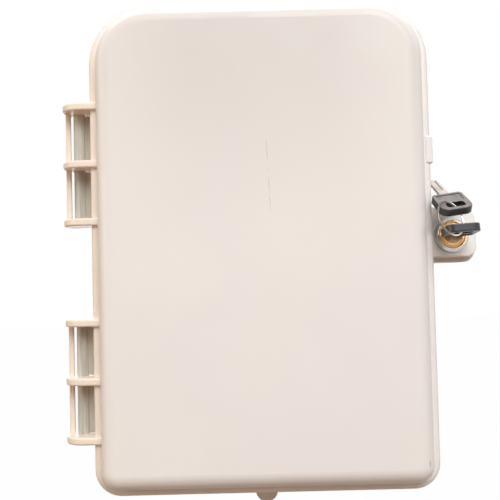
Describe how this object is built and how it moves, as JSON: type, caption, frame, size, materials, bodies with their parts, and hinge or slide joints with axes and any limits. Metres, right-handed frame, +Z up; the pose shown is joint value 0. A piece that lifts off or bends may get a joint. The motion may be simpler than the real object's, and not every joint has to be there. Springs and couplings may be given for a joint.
{
  "type": "distribution box",
  "caption": "Wall-hung cable distribution box: domed hinged lid, cam lock with keys on a ring, splice tray, adapter panel, cable anchors and sealed entry ports inside.",
  "frame": {"origin": "middle of the back, in the plane of the wall", "axes": "+X to the right as seen from the front, +Z up, the front faces -Y and +Y points into the wall"},
  "size_m": [0.2572, 0.1021, 0.3466],
  "materials": {
    "shell_plastic": "warm white moulded plastic, satin",
    "gasket_rubber": "soft dark sealing foam",
    "lock_metal": "bright plated die casting",
    "plug_brass": "plain brass, worn",
    "zinc_steel": "zinc plated",
    "screw_steel": "zinc plated",
    "key_metal": "nickel plated",
    "key_plastic": "black moulded plastic",
    "ring_metal": "bright wire",
    "tray_plastic": "light grey moulded plastic",
    "cover_plastic": "clear smoked plastic",
    "comb_rubber": "dark soft rubber",
    "module_plastic": "dark grey moulded plastic",
    "panel_plastic": "light grey moulded plastic",
    "adapter_plastic": "blue moulded plastic",
    "cap_rubber": "pale soft rubber",
    "grommet_rubber": "black rubber"
  },
  "bodies": {
    "base": {"base_shell": "shell_plastic", "splice_tray": "tray_plastic", "splice_tray_cover": "cover_plastic", "splice_comb": "comb_rubber", "splitter_module": "module_plastic", "tray_screws": "screw_steel", "adapter_panel": "panel_plastic", "panel_screws": "screw_steel", "clamp_screws": "screw_steel", "adapter_1": "adapter_plastic", "adapter_2": "adapter_plastic", "adapter_3": "adapter_plastic", "adapter_4": "adapter_plastic", "adapter_5": "adapter_plastic", "adapter_6": "adapter_plastic", "adapter_7": "adapter_plastic", "adapter_8": "adapter_plastic", "dust_cap_1": "cap_rubber", "dust_cap_2": "cap_rubber", "dust_cap_3": "cap_rubber", "dust_cap_4": "cap_rubber", "dust_cap_5": "cap_rubber", "dust_cap_6": "cap_rubber", "dust_cap_7": "cap_rubber", "dust_cap_8": "cap_rubber", "drop_grommet_1": "grommet_rubber", "drop_grommet_2": "grommet_rubber", "drop_grommet_3": "grommet_rubber", "drop_grommet_4": "grommet_rubber", "drop_grommet_5": "grommet_rubber", "drop_grommet_6": "grommet_rubber", "drop_grommet_7": "grommet_rubber", "drop_grommet_8": "grommet_rubber", "feeder_grommet_left": "grommet_rubber", "cable_anchor_left": "tray_plastic", "clamp_bar_left": "zinc_steel", "feeder_grommet_right": "grommet_rubber", "cable_anchor_right": "tray_plastic", "clamp_bar_right": "zinc_steel"},
    "lid": {"lid": "shell_plastic", "lid_gasket": "gasket_rubber", "lock_housing": "lock_metal", "lock_nut": "lock_metal"},
    "lock": {"lock_plug": "plug_brass", "lock_cam": "zinc_steel", "cam_screw": "screw_steel", "key_blade": "key_metal", "key_bow": "key_plastic", "spare_key_blade": "key_metal", "spare_key_bow": "key_plastic", "key_ring": "ring_metal"}
  },
  "joints": [
    {"name": "lid_hinge", "type": "hinge", "parent": "base", "child": "lid", "pos_m": [-0.1142, -0.06, 0], "axis": [0, 0, -1], "range_deg": [0, 120]},
    {"name": "lock_turn", "type": "hinge", "parent": "lid", "child": "lock", "pos_m": [0.1173, -0.0672, 0.0028], "axis": [-0.0693, 0.9912, -0.1129], "range_deg": [0, 90]}
  ]
}
